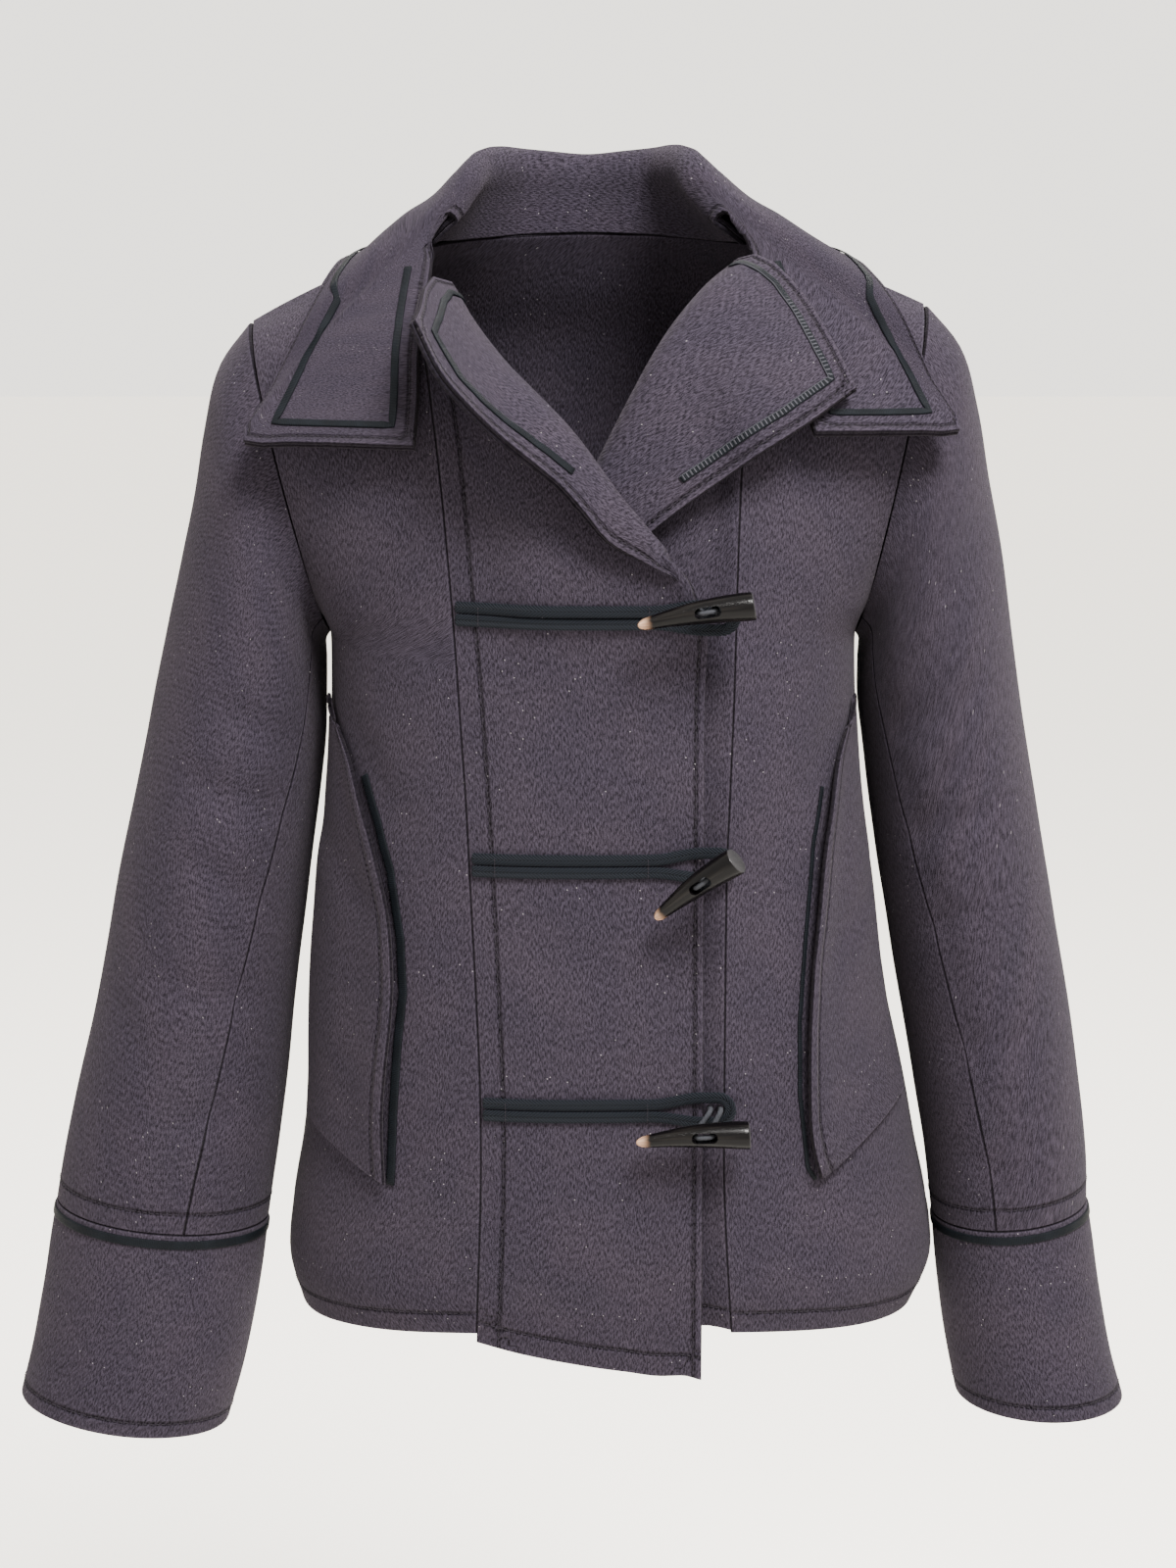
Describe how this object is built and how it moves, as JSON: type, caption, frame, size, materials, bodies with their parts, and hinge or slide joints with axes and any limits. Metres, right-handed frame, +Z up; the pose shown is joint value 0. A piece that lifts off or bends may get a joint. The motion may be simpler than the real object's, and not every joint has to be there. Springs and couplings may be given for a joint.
{
  "type": "short toggle jacket",
  "caption": "Short fitted wool jacket in worn form, with a wide notched collar, ribbon trim, deep cuffs, curved side pockets and cord loops closed over horn toggles.",
  "frame": {"origin": "the point midway between the neck seams on the shoulders' top, where the shoulders of a wearer or a stand hold the jacket", "axes": "+Z up, -Y out of the jacket's front, +X towards the wearer's left sleeve"},
  "size_m": [0.6202, 0.28, 0.7062],
  "materials": {
    "wool": "thick milled wool, soft nap, dark aubergine grey",
    "ribbon": "woven ribbon, near black blue green",
    "braid": "round braided cord, near black",
    "horn": "polished dark horn with a pale tip",
    "cord": "twisted grey cord"
  },
  "bodies": {
    "root": {"back": "wool", "front_right": "wool", "front_left": "wool", "band_right": "wool", "band_left": "wool", "facing_right": "wool", "facing_left": "wool", "upper_collar": "wool", "under_collar": "wool", "sleeve_upper_right": "wool", "sleeve_under_right": "wool", "sleeve_upper_left": "wool", "sleeve_under_left": "wool", "cuff_right": "wool", "cuff_left": "wool", "pocket_right": "wool", "pocket_left": "wool", "collar_ribbon": "ribbon", "lapel_ribbon_right": "ribbon", "lapel_ribbon_left": "ribbon", "cuff_ribbon_right": "ribbon", "cuff_ribbon_left": "ribbon", "pocket_trim_right": "ribbon", "pocket_trim_left": "ribbon", "strap_1": "braid", "strap_2": "braid", "strap_3": "braid", "toggle_1": "horn", "toggle_2": "horn", "toggle_3": "horn", "toggle_cord_1": "cord", "toggle_cord_2": "cord", "toggle_cord_3": "cord"}
  },
  "joints": []
}
